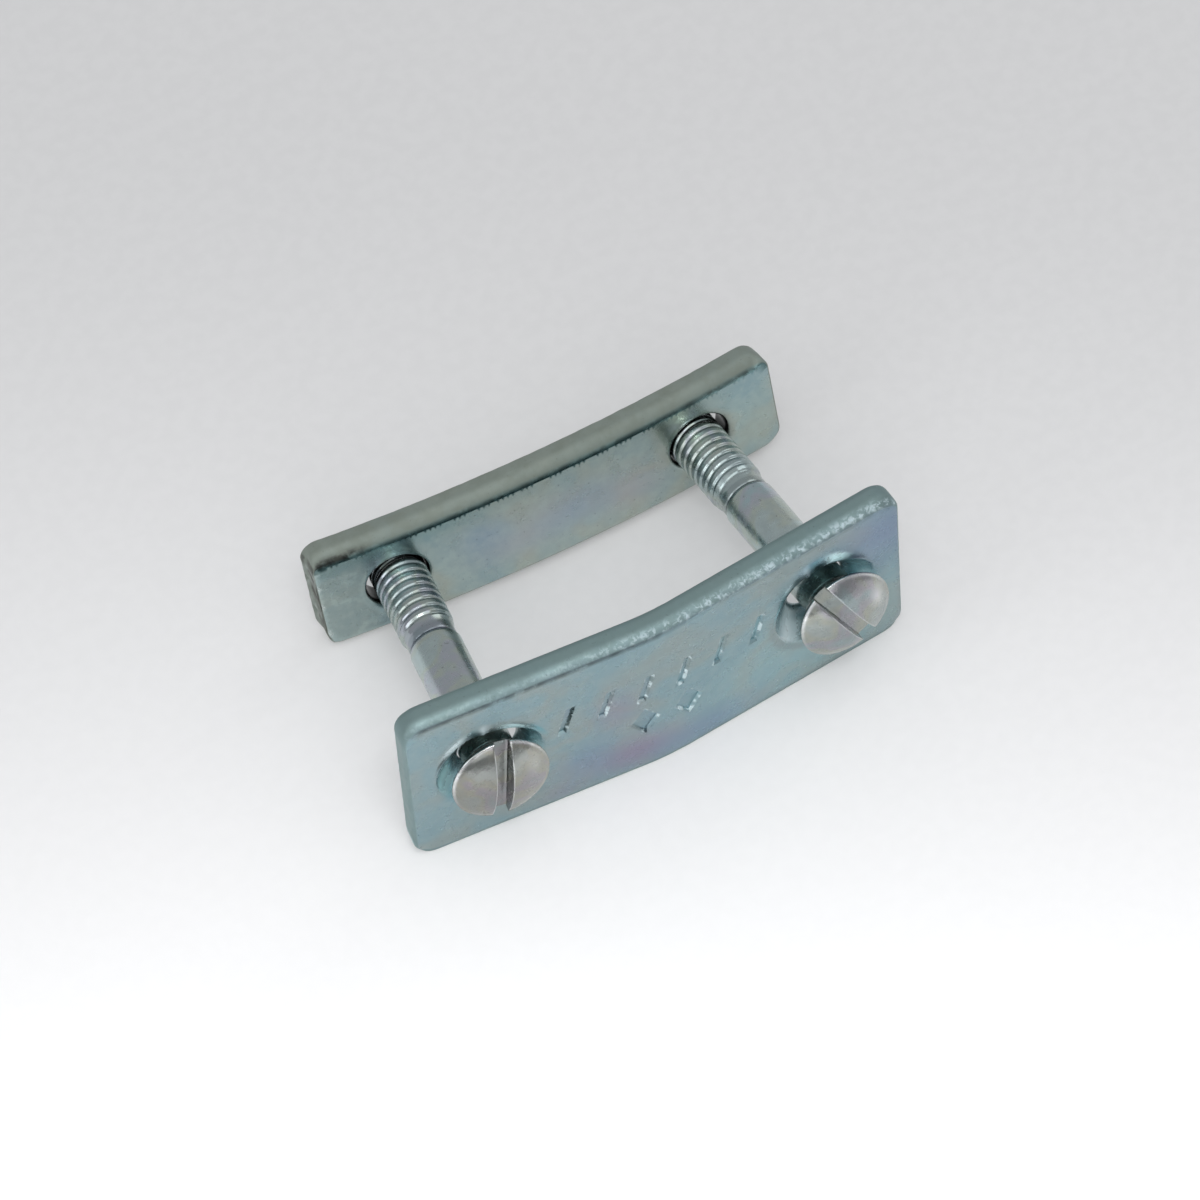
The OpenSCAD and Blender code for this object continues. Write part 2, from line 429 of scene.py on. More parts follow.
def rear_rim_bump(u, v, nu, nv, k, d, w):
    left = smooth(0.4, 1.0, nu) * (1 if u < 0 else 0.3)
    end = smooth(0.35, 0.95, abs(nu))
    low = smooth(0.3, 0.9, nv)
    if k < 9:
        d, w = d * (1 - 0.84 * end - 0.7 * low * (1 - end)), w * (1 - 0.88 * end - 0.7 * low * (1 - end))
    # the left end is sheared at a slant
    slant = 0.42 * left * (1 if u < 0 else 0) * (1.0 if k < 9 else max(0.0, 1 - (k - 8) / 7))
    d += slant
    if k == 0:
        return d + 0.02 * n1(u * 0.9, v * 0.9, 12.0) * (1 - end), 0.0
    if k < 9:
        b = 0.020 * math.sin(math.pi * k / 9) * (n1(u * 1.8, v * 1.8, k * 0.3 + 3) + 0.5 * n1(u * 4.6, v * 4.6, 19 + k * 0.3))
        b *= 0.5
        nick = 0.07 * math.exp(-((u + 1.9) / 0.4) ** 2) * smooth(0.3, 0.9, -nv) * math.exp(-((k - 7) / 2.0) ** 2)
        return max(0.0, d + 0.5 * abs(b) + nick), min(w + b, 0.0)
    if k < 14:
        rough = 0.02 + 0.07 * left
        nick = 0.3 * left * math.exp(-((v - 5.6) / 0.35) ** 2) * math.exp(-((k - 12) / 1.6) ** 2)
        nick += 0.34 * left * math.exp(-((v - 2.5) / 0.28) ** 2) * math.exp(-((k - 13) / 1.8) ** 2)
        return max(0.0, d + rough * abs(n1(u * 3.0, v * 3.0, k * 0.8)) + nick), w
    return max(0.0, d + 0.03 * n1(u * 1.4, v * 1.4, 8.0)), w


REAR_HOLE = [(2.66, 0.0), (2.55, -0.01), (2.45, -0.04), (2.37, -0.09), (2.3, -0.17), (2.25, -0.28), (2.225, -0.4), (2.215, -0.55), (2.23, -1.0), (2.245, -1.55), (2.26, -1.72), (2.3, -1.84), (2.38, -1.93), (2.52, -1.985), (2.7, -2.0)]


def rear_ring_bump(h, a, k, r, w):
    if k < 6:
        return r + 0.03 * n1(math.cos(a) * 2 + 4 * h, math.sin(a) * 2, 3.0), w, 0.0, 0.0
    return r, w, 0.0, 0.0


def rear_face_w(u, v):
    return -0.008 * abs(n1(u * 0.3, v * 0.3, 31.0))


def rear_back_w(u, v):
    return -REAR_T + 0.006 * abs(n1(u * 0.4, v * 0.4, 36.0))


# ------------------------------------------------ screws
HEAD_R, DOME_H, SLOT_W, SLOT_D, LEN = 3.45, 0.95, 1.15, 1.45, 22.2
DOME_S = (HEAD_R ** 2 + DOME_H ** 2) / (2 * DOME_H)
SHANK, NECK, CREST, THREAD_END, NECK_END = 1.86, 1.74, 1.94, 5.85, 6.55
FLOOR = DOME_H - SLOT_D


def screw_mesh(slot_deg, tip, seed):
    rd = 3.37
    wall, foot = SLOT_W / 2, SLOT_W / 2 - 0.035
    lines = [0.0, 0.16, 0.32, 0.44, 0.51, foot, wall, wall + 0.02, wall + 0.045, wall + 0.08, wall + 0.14]
    ph = [math.asin(y / rd) for y in lines]
    last = ph[-1]
    steps = 22
    ph += [last + (math.pi / 2 - last) * (i + 1) / steps for i in range(steps)]
    phis = [-p for p in reversed(ph[1:])] + ph
    n_lines = len(phis)
    m = 44
    r_floor = HEAD_R - (-FLOOR - 0.22)
    verts, faces = [], []
    kinds = []

    def add(x, y, z, kind=0.0):
        verts.append((x, y, z))
        kinds.append(kind)
        return len(verts) - 1

    def dome(x, y):
        r = math.hypot(x, y)
        z = math.sqrt(DOME_S ** 2 - r * r) - DOME_S + DOME_H
        z -= 0.05 * smooth(rd - 0.35, rd, r)
        return z

    grid = []
    for i, p in enumerate(phis):
        y = rd * math.sin(p)
        row = []
        inside = abs(y) <= foot + 1e-6
        xmax = math.sqrt(max(0.0, r_floor ** 2 - y * y)) if inside else rd * math.cos(p)
        for j in range(m + 1):
            t = math.sin(math.pi / 2 * (2 * j / m - 1))
            x = xmax * t
            if inside:
                z = FLOOR + 0.05 * smooth(foot - 0.12, foot, abs(y)) + 0.012 * n1(x * 0.9, y * 3.0, seed)
                if j in (0, m):
                    z = FLOOR
                # slot floor: painted shade through the deep mask
                row.append(add(x, y, z, 0.12))
            else:
                z = dome(x, y)
                e = abs(y) - wall
                z -= 0.05 * (1 - smooth(0.0, 0.085, e))
                # a little burr where the slot runs out on one side
                z += 0.05 * math.exp(-((e - 0.02) / 0.05) ** 2) * smooth(2.7, 3.3, -x if seed < 5 else x) * (1 if y * (1 if seed < 5 else -1) > 0 else 0)
                z -= 0.008 * abs(n1(x * 1.2, y * 1.2, seed + 2.0))
                row.append(add(x, y, z, 0.0))
        grid.append(row)
    for i in range(n_lines - 1):
        for j in range(m):
            faces.append((grid[i][j], grid[i][j + 1], grid[i + 1][j + 1], grid[i + 1][j]))
    # the loop round the dome: right side upward, left side downward
    loop = [(i, m) for i in range(n_lines)] + [(i, 0) for i in range(n_lines - 2, 0, -1)]
    first = [grid[i][j] for i, j in loop]
    total = len(loop)
    angles = []
    for i, j in loop:
        y = rd * math.sin(phis[i])
        a = phis[i] if j == m else math.pi - phis[i]
        angles.append((a, y, abs(y) <= foot + 1e-6))
    rows = [first]

    head_rows = [(3.41, -0.015), (3.44, -0.05), (3.45, -0.09), (3.45, -0.16), (3.44, -0.2), (3.41, -0.245), (3.32, -0.35), (3.24, -0.43), (r_floor, FLOOR)]
    for r, z in head_rows:
        row = []
        for a, y0, slotted in angles:
            if slotted:
                x = math.copysign(math.sqrt(r_floor ** 2 - y0 * y0), math.cos(a))
                # slot floor at the rim: painted shade through the deep mask
                row.append(add(x, y0, FLOOR, 0.3))
            else:
                keep = 1 - smooth(0.75, 1.5, abs(y0))
                y = keep * y0 + (1 - keep) * r * math.sin(a)
                x = math.copysign(math.sqrt(max(0.0, r * r - y * y)), math.cos(a))
                if abs(math.cos(a)) < 1e-9:
                    x = 0.0
                row.append(add(x, y, z, 0.0))
        rows.append(row)
    base = [math.atan2(verts[q][1], verts[q][0]) for q in rows[-1]]
    for k in range(1, total):
        while base[k] < base[k - 1] - 1e-9:
            base[k] += 2 * math.pi
    even = [base[0] + 2 * math.pi * k / total for k in range(total)]

    head_at = LEN - tip
    low = []
    z = FLOOR
    r = r_floor
    while r > SHANK + 0.12:
        r -= 0.16
        z -= 0.16
        low.append((r, z, 1))
    end = -0.22 - (HEAD_R - SHANK)
    low += [(SHANK + 0.05, end - 0.02, 1), (SHANK + 0.015, end - 0.1, 1), (SHANK, end - 0.22, 1)]
    bottom = NECK_END + 0.3 - head_at
    steps = 26
    z0 = end - 0.22
    low += [(SHANK, z0 + (bottom + 0.1 - z0) * i / steps, 2) for i in range(1, steps + 1)]
    low += [(SHANK - 0.012, bottom + 0.03, 2), (SHANK - 0.05, bottom - 0.05, 2), (SHANK - 0.1, bottom - 0.14, 3), (NECK - 0.03, bottom - 0.22, 3), (NECK - 0.055, bottom - 0.3, 4),
            (NECK - 0.02, bottom - 0.37, 4), (NECK, bottom - 0.45, 4), (NECK, bottom - 0.6, 4), (NECK, bottom - 0.8, 4)]
    zt = bottom - 0.3 - 0.7 + 0.12
    zend = -tip - head_at
    while zt > zend + 0.07:
        low.append((0, zt, 5))
        zt -= 0.041
    shown = []
    for k, (r, z, kind) in enumerate(low):
        mix = smooth(FLOOR, end, z)
        row = []
        for q in range(total):
            a = base[q] * (1 - mix) + even[q] * mix
            rr, mark = r, 0.0
            if kind == 2:
                rr = r - 0.006 * abs(n1(math.cos(a) * 1.2, math.sin(a) * 1.2, z * 0.5 + seed))
            # neck and shoulder: painted shade through the deep mask
            if kind in (3, 4):
                mark = 1.6 if r < NECK - 0.02 else (0.7 if kind == 4 else 0.25)
            if kind == 5:
                zz = z + head_at
                p = (zz / 0.7 - a / (2 * math.pi)) % 1.0
                tri = abs(2 * p - 1)  # 0 at the root, 1 at the crest
                lift = smooth(0.0, 0.62, tri)
                out = smooth(THREAD_END + 0.05, THREAD_END - 1.15, zz)
                full_crest, full_root = CREST, 1.84
                crest = NECK + (full_crest - NECK) * min(1.0, out * 1.25)
                root = NECK + (full_root - NECK) * out
                rr = root + (crest - root) * lift
                rr -= 0.012 * abs(n1(math.cos(a) * 2.5, math.sin(a) * 2.5, zz * 2.2 + seed)) * lift
                over = (-tip + 0.42) - zz
                if over > 0:
                    rr = min(rr, CREST - over * 0.95)
                # painted shade: darker in the thread roots than on the crests
                mark = 0.52 - 0.25 * lift
            row.append(add(rr * math.cos(a), rr * math.sin(a), z, mark))
        rows.append(row)
        shown.append(kind)
    for a, b in zip(rows, rows[1:]):
        for i in range(total):
            j = (i + 1) % total
            faces.append((a[i], b[i], b[j], a[j]))
    # tip
    lastr = rows[-1]
    prev = lastr
    for f, dz in ((0.8, -0.05), (0.45, -0.062), (0.2, -0.066)):
        ring = [add(verts[q][0] * f, verts[q][1] * f, zend + 0.066 + dz if f < 0.9 else zend, 0.0) for q in lastr]
        for i in range(total):
            j = (i + 1) % total
            faces.append((prev[i], ring[i], ring[j], prev[j]))
        prev = ring
    c = add(0, 0, zend, 0.0)
    for i in range(total):
        faces.append((prev[i], c, prev[(i + 1) % total]))
    return verts, faces, kinds, head_at


# ---------------------------------------------------------------- materials

class Tree:
    """Short way to write a material's nodes."""

    def __init__(self, name):
        self.mat = bpy.data.materials.new(name)
        self.mat.use_nodes = True
        self.t = self.mat.node_tree
        self.t.nodes.clear()
        self.out = self.t.nodes.new("ShaderNodeOutputMaterial")
        self.coord = self.t.nodes.new("ShaderNodeTexCoord")

    def link(self, a, b):
        self.t.links.new(a, b)

    def noise(self, scale, detail=3.0, rough=0.55, stretch=None, shift=(0, 0, 0), distortion=0.0):
        n = self.t.nodes.new("ShaderNodeTexNoise")
        n.inputs["Scale"].default_value = scale
        n.inputs["Detail"].default_value = detail
        n.inputs["Roughness"].default_value = rough
        n.inputs["Distortion"].default_value = distortion
        m = self.t.nodes.new("ShaderNodeMapping")
        m.inputs["Location"].default_value = shift
        if stretch:
            m.inputs["Scale"].default_value = stretch
        self.link(self.coord.outputs["Object"], m.inputs["Vector"])
        self.link(m.outputs["Vector"], n.inputs["Vector"])
        return n.outputs["Fac"]

    def ramp(self, fac, stops, mode="EASE"):
        r = self.t.nodes.new("ShaderNodeValToRGB")
        r.color_ramp.interpolation = mode
        els = r.color_ramp.elements
        while len(els) > 1:
            els.remove(els[-1])
        els[0].position, els[0].color = stops[0][0], (*stops[0][1], 1)
        for p, c in stops[1:]:
            e = els.new(p)
            e.color = (*c, 1)
        self.link(fac, r.inputs["Fac"])
        return r.outputs["Color"]

    def scalar(self, fac, a, b, lo, hi):
        m = self.t.nodes.new("ShaderNodeMapRange")
        m.interpolation_type = "SMOOTHSTEP"
        for key, v in (("From Min", a), ("From Max", b), ("To Min", lo), ("To Max", hi)):
            m.inputs[key].default_value = v
        self.link(fac, m.inputs["Value"])
        return m.outputs["Result"]

    def attr(self, name):
        a = self.t.nodes.new("ShaderNodeAttribute")
        a.attribute_name = name
        return a.outputs["Fac"]

    def mix(self, fac, a, b, mode="MIX"):
        m = self.t.nodes.new("ShaderNodeMix")
        m.data_type = "RGBA"
        m.blend_type = mode
        if isinstance(fac, float):
            m.inputs[0].default_value = fac
        else:
            self.link(fac, m.inputs[0])
        for k, s in ((6, a), (7, b)):
            if isinstance(s, tuple):
                m.inputs[k].default_value = (*s, 1)
            else:
                self.link(s, m.inputs[k])
        return m.outputs[2]

    def math(self, op, a, b):
        m = self.t.nodes.new("ShaderNodeMath")
        m.operation = op
        for k, s in ((0, a), (1, b)):
            if isinstance(s, (int, float)):
                m.inputs[k].default_value = s
            else:
                self.link(s, m.inputs[k])
        return m.outputs[0]

    def bump(self, height, strength, distance, normal=None):
        b = self.t.nodes.new("ShaderNodeBump")
        b.inputs["Strength"].default_value = strength
        b.inputs["Distance"].default_value = distance
        self.link(height, b.inputs["Height"])
        if normal is not None:
            self.link(normal, b.inputs["Normal"])
        return b.outputs["Normal"]

    def metal(self, color, rough, normal, metallic=None):
        p = self.t.nodes.new("ShaderNodeBsdfPrincipled")
        p.inputs["Metallic"].default_value = 1.0
        if metallic is not None:
            self.link(metallic, p.inputs["Metallic"])
        self.link(color, p.inputs["Base Color"])
        self.link(rough, p.inputs["Roughness"])
        self.link(normal, p.inputs["Normal"])
        self.link(p.outputs["BSDF"], self.out.inputs["Surface"])
        return self.mat


def zinc_plate(name, tones, seed):
    t = Tree(name)
    big = t.noise(150, 2.5, 0.5, shift=(seed, 0, 0), distortion=0.4)
    base = t.ramp(big, [(0.30, tones["cool"]), (0.45, tones["main"]), (0.58, tones["warm"]), (0.70, tones["main"])])
    fine = t.noise(1300, 3.0, 0.6, shift=(0, seed, 0))
    base = t.mix(t.scalar(fine, 0.35, 0.7, 0.0, 0.35), base, tones["light"])
    # pink and blue are tints of the zinc, except the blue on the right countersink lip, which is painted shade; teal is
    # painted shade in the countersink lips and along the rear top crease, and a tint on the stamp floors and below the
    # rear top edge
    base = t.mix(t.math("MULTIPLY", t.attr("pink"), 0.95), base, tones["pink"])
    base = t.mix(t.math("MULTIPLY", t.attr("blue"), 0.9), base, tones["blue"])
    base = t.mix(t.math("MULTIPLY", t.attr("teal"), 0.8), base, tones["teal"])
    streaks = t.noise(700, 3.0, 0.6, shift=(seed, seed, seed))
    base = t.mix(t.math("MULTIPLY", t.attr("edge"), t.scalar(streaks, 0.35, 0.65, 0.86, 1.0)), base, tones["edge"])
    # painted highlights: glints on the stamp edges, the countersink lips and walls, the top roll and the plate ends
    base = t.mix(t.math("MULTIPLY", t.attr("painted_highlight"), 0.85), base, tones["painted_highlight"])
    # painted highlight: pale sparkles along the front plate's top roll, with a matching bump
    ripple_highlight = t.math("MULTIPLY", t.attr("ripple_highlight"), t.scalar(t.noise(2700, 3.0, 0.6, shift=(seed, 0, 0), distortion=0.5), 0.45, 0.62, 0.0, 0.85))
    base = t.mix(ripple_highlight, base, (0.52, 0.64, 0.69))
    # painted shade and dirt: darkens the top creases, the stamp outlines, the countersink lips and the tapped bores as
    # painted shade, plus a black smudge near the rear plate's left end
    dark_mottle = t.noise(900, 4.0, 0.65, shift=(0, 0, seed))
    dark = t.math("MULTIPLY", t.attr("dirt_and_shade"), t.scalar(dark_mottle, 0.36, 0.5, 0.35, 1.0))
    base = t.mix(dark, base, tones["dark"])
    specks = t.noise(4200, 2.0, 0.5, shift=(seed, seed, 0))
    base = t.mix(t.scalar(specks, 0.66, 0.76, 0.0, 0.5), base, tones["speck"])
    # near-black: painted shade on the countersink walls and in the tapped bores, and a black smudge and darker sheared
    # end on the rear plate
    base = t.mix(t.attr("black_stain_and_shade"), base, tones["black_stain_and_shade"])
    # cyan: painted light on the countersink lips and on the lit parts of the countersink walls; on the faces a lighter
    # cyan patch towards the right
    base = t.mix(t.attr("cyan"), base, tones["cyan"])
    r = t.noise(600, 3.0, 0.6, shift=(seed, 0, seed))
    rough = t.math("ADD", t.scalar(r, 0.3, 0.7, tones["rough"][0], tones["rough"][1]), t.math("MULTIPLY", t.attr("edge"), 0.33))
    h1 = t.noise(900, 2.0, 0.5)
    h2 = t.noise(5200, 2.0, 0.55)
    n = t.bump(h1, 0.09, 0.00006)
    n = t.bump(h2, 0.08, 0.00002, n)
    n = t.bump(ripple_highlight, 0.35, 0.00004, n)
    # the painted highlight, cyan and ripple masks also turn the metal partly diffuse so their painted light shows under
    # the lamps; the rear edge is made matt as well
    dull = t.math("MAXIMUM", t.math("MAXIMUM", t.attr("painted_highlight"), t.attr("cyan")), ripple_highlight)
    dull = t.math("MAXIMUM", dull, t.math("MULTIPLY", t.attr("edge"), tones["flat"]))
    return t.metal(base, rough, n, t.scalar(dull, 0.0, 0.8, 1.0, 0.12))


def zinc_screw(name, seed, level, deep, head):
    t = Tree(name)
    big = t.noise(330, 2.5, 0.5, shift=(seed, 0, 0), distortion=0.5)
    base = t.ramp(big, [(p, tuple(level * c for c in tone)) for p, tone in ((0.28, (0.41, 0.445, 0.44)), (0.42, (0.46, 0.485, 0.46)), (0.52, (0.47, 0.465, 0.40)), (0.60, (0.45, 0.42, 0.445)), (0.72, (0.39, 0.45, 0.455)))])
    fine = t.noise(1700, 4.0, 0.65, shift=(0, seed, 0))
    base = t.mix(t.scalar(fine, 0.3, 0.7, 0.0, 0.5), base, (0.42, 0.445, 0.43))
    base = t.mix(t.attr("body"), base, (0.97, 1.10, 1.15), "MULTIPLY")
    # deep mask: painted shade on the slot floor, the neck and the thread roots
    base = t.mix(t.math("MULTIPLY", t.attr("deep"), 0.55), base, deep)
    # painted shade: the head is darkened most on its left side, less towards the right
    base = t.mix(t.attr("head"), base, head, "MULTIPLY")
    # painted highlights: a glint along the head rim, a line on the slot lips and a spot on the dome
    base = t.mix(t.math("MULTIPLY", t.attr("shine"), 0.9), base, (0.86, 0.88, 0.90))
    # painted shade on the cone under the head
    base = t.mix(t.attr("under_head_shade"), base, (0.25, 0.29, 0.27))
    specks = t.noise(3600, 2.0, 0.5, shift=(seed, seed, 0))
    base = t.mix(t.scalar(specks, 0.66, 0.74, 0.0, 0.6), base, (0.20, 0.21, 0.215))
    r = t.noise(800, 3.0, 0.6, shift=(seed, 0, seed))
    rough = t.scalar(r, 0.3, 0.7, 0.17, 0.34)
    n = t.bump(t.noise(1100, 2.5, 0.55, shift=(0, 0, seed)), 0.25, 0.00006)
    n = t.bump(t.noise(5200, 2.0, 0.55), 0.2, 0.00002, n)
    return t.metal(base, rough, n)


# the zinc's own tints, with the highlight, cyan, teal, near-black and dark tones that the masks use for painted light
# and shade
FRONT_TONES = dict(main=(0.235, 0.347, 0.381), cool=(0.198, 0.306, 0.352), warm=(0.276, 0.340, 0.340), light=(0.305, 0.392, 0.402), pink=(0.285, 0.250, 0.335), blue=(0.190, 0.250, 0.385),
                   teal=(0.11, 0.34, 0.395), painted_highlight=(0.76, 0.91, 0.95), dark=(0.05, 0.06, 0.06), speck=(0.15, 0.20, 0.215), edge=(0.243, 0.335, 0.335), black_stain_and_shade=(0.035, 0.06, 0.06), cyan=(0.52, 0.87, 0.89), rough=(0.20, 0.33), flat=0.0)
REAR_TONES = dict(main=(0.375, 0.475, 0.47), cool=(0.32, 0.44, 0.47), warm=(0.43, 0.48, 0.43), light=(0.50, 0.585, 0.56), pink=(0.475, 0.445, 0.475), blue=(0.35, 0.415, 0.54),
                  teal=(0.14, 0.32, 0.33), painted_highlight=(0.66, 0.73, 0.71), dark=(0.04, 0.04, 0.032), speck=(0.17, 0.19, 0.17), edge=(0.225, 0.262, 0.228), black_stain_and_shade=(0.012, 0.014, 0.013), cyan=(0.5, 0.9, 0.95), rough=(0.17, 0.29), flat=0.55)

front_mat = zinc_plate("zinc_front", FRONT_TONES, 0.31)
rear_mat = zinc_plate("zinc_rear", REAR_TONES, 0.77)
screw_mat_l = zinc_screw("zinc_screw_left", 0.13, 1.08, (0.13, 0.15, 0.185), (0.54, 0.54, 0.54))
screw_mat_r = zinc_screw("zinc_screw_right", 0.58, 1.15, (0.19, 0.22, 0.235), (0.65, 0.685, 0.70))


# ---------------------------------------------------------------- the four pieces

def blob(u, v, cu, cv, su, sv):
    return math.exp(-((u - cu) / su) ** 2 - ((v - cv) / sv) ** 2)


def build_front():
    verts, faces, kinds = plate_mesh(FRONT_HALF, FRONT_W, FRONT_T, FRONT_RC, FRONT_RIM, [(-HOLE_U, HOLE_V), (HOLE_U, HOLE_V)], FRONT_HOLE, front_face_w, back_front_w,
                                     fine_stamp_points(), 0.42, 0.2, front_rim_bump, front_ring_bump)
    keys = ("pink", "blue", "teal", "painted_highlight", "dirt_and_shade", "edge", "black_stain_and_shade", "cyan", "ripple_highlight")
    masks = {k: [] for k in keys}
    for (u, v, w), (kind, k) in zip(verts, kinds):
        m = dict.fromkeys(keys, 0.0)
        if kind in ("face", "rim", "hole"):
            m["pink"] = min(1.0, blob(u, v, -2.4, 2.6, 3.0, 1.8) + 0.5 * blob(u, v, -3.6, 9.0, 1.6, 2.2) + 0.35 * blob(u, v, -8.0, 1.2, 1.5, 1.2))
            m["blue"] = min(1.0, 0.8 * blob(u, v, 17.5, 13.5, 3.5, 3.4) + 0.6 * blob(u, v, 2.5, 1.6, 4.5, 1.6) + 0.5 * blob(u, v, -6.0, 4.0, 2.2, 2.0))
        top = 1.0 if v > FRONT_W - 1.0 else 0.0
        # painted highlights along the top roll: sparkles and pale ripples, brighter towards the right
        if kind == "rim" and 0 < k < 9:
            spark = smooth(0.58, 0.78, 0.5 + 0.5 * n1(u * 2.6, 3.0, k * 0.5))
            m["painted_highlight"] = top * spark * math.exp(-((k - 3) / 1.8) ** 2) * 0.35 * smooth(-6, 4, u)
            m["ripple_highlight"] = top * math.exp(-((k - 3.5) / 2.6) ** 2) * (0.22 + 0.7 * smooth(-10, 4, u))
            m["blue"] = top * 0.9 * math.exp(-((k - 3) / 2.4) ** 2) * (0.7 + 0.5 * n1(u * 1.7, k * 0.4, 14.0))
        # painted shade: a dark line along the top crease, stronger on the left half
        if kind == "rim" and k in (0, 1) and top:
            m["dirt_and_shade"] = (0.25 + 0.6 * smooth(3.0, -3.0, u)) * smooth(-18.4, -17.0, u) * (0.75 + 0.4 * n1(u * 1.3, 8.0))
        if kind == "rim":
            m["edge"] = smooth(0, 2, k)
            # painted highlight near the bottom of the left end
            if u < -18.0:
                m["painted_highlight"] = max(m["painted_highlight"], 0.75 * math.exp(-((v - 1.5) / 0.45) ** 2 - ((k - 9) / 3.0) ** 2))
        if kind == "hole":
            side = 0 if u < 0 else 1
            deg = math.degrees(math.atan2(v - HOLE_V, u - math.copysign(HOLE_U, u))) % 360
            t = k / 9
            # the countersink colours below are painted light: highlights and cyan on the lip and the lower-left wall,
            # teal, blue and dark painted shade over the rest
            on = smooth(0.02, 0.3, t) * (1 if k < 10 else 0)
            wall = 1.0 if 9 < k < 23 else 0.0
            m["teal"] = 0.4 * smooth(0.5, 0.95, t) * (1 if k < 16 else 0)
            if side == 0:
                m["painted_highlight"] = 0.75 * on * smooth(1.0, 0.75, t) * peak(deg, 121, 15) + 0.8 * on * smooth(1.0, 0.85, t) * smooth(0.2, 0.5, t) * peak(deg, 64, 16) + 0.5 * on * peak(deg, 93, 3.5)
                m["cyan"] = 0.5 * on * smooth(1.0, 0.85, t) * smooth(0.2, 0.5, t) * peak(deg, 64, 16)
                m["teal"] = max(m["teal"], 0.95 * on * (peak(deg, 34, 15) + peak(deg, 102, 5)))
                m["dirt_and_shade"] = 0.4 * on * peak(deg, 102, 5)
                low = (smooth(0.75, 1.0, t) if k < 10 else 1.0) * (1 if k < 15 else 0) * peak(deg, 184, 21)
                m["cyan"] = max(m["cyan"], 0.85 * low)
                lit = wall * peak(deg, 28, 34) * smooth(17, 14, k)
            else:
                m["painted_highlight"] = 1.0 * on * smooth(0.85, 0.6, t) * peak(deg, 80, 9) + 0.5 * on * smooth(0.8, 0.4, t) * peak(deg, 123, 8) + 0.5 * on * peak(deg, 106, 3)
                m["cyan"] = 0.6 * on * smooth(0.95, 0.7, t) * peak(deg, 77, 13)
                m["blue"] = max(m["blue"], on * (peak(deg, 57, 11) + peak(deg, 98, 10)))
                m["teal"] = max(m["teal"], 0.95 * on * (peak(deg, 142, 22) + peak(deg, 98, 10)))
                m["dirt_and_shade"] = 0.5 * on * peak(deg, 98, 8) * smooth(0.15, 0.6, t) + 0.25 * on * smooth(0.5, 0.9, t) * peak(deg, 135, 22)
                low = (smooth(0.55, 0.9, t) if k < 10 else 1.0) * (1 if k < 17 else 0) * peak(deg, 212, 23)
                m["painted_highlight"] = max(m["painted_highlight"], 0.95 * low)
                lit = wall * peak(deg, 22, 34) * smooth(17, 14, k)
            m["painted_highlight"] = min(1.0, m["painted_highlight"])
            # painted shade on the countersink wall, darkest at the upper left, lifted where painted light falls
            dark = wall * (1 - low) * (1 - 0.9 * lit) * ((0.04 + 0.6 * peak(deg, 160, 24)) if side == 0 else (0.04 + 0.25 * peak(deg, 150, 25)))
            m["cyan"] = max(m["cyan"], 0.3 * lit, 0.45 * wall * smooth(17, 14, k) * peak(deg, 92, 38))
            m["black_stain_and_shade"] = min(1.0, dark)
            m["dirt_and_shade"] = min(1.0, m["dirt_and_shade"] * (1 - low) + 0.25 * lit)
        if kind == "face":
            d = stamp_distance(u, v)
            # painted shade along the stamp outlines, and painted glints on their edges below
            m["dirt_and_shade"] = 0.2 * math.exp(-((d - 0.02) / 0.06) ** 2)
            if d < -0.1:
                m["pink"] = max(m["pink"], 0.5 * smooth(6.0, -2.0, u) * (0.5 + 0.5 * n1(u * 0.7, v * 0.4, 3.0)))
                m["teal"] = 0.25
            elif -0.12 < d < 0.04:
                gleam = smooth(0.1, 0.45, n1(u * 2.2, v * 2.2, 12.0) + 0.12)
                m["painted_highlight"] = gleam * 0.95
            m["cyan"] = 0.17 * blob(u, v, 11.0, 4.0, 8.5, 6.0)
        for key in keys:
            masks[key].append(m[key])
    return make("front_plate_detailed", [front_place(*p) for p in verts], faces, masks, "front_plate", "front_plate", front_mat)


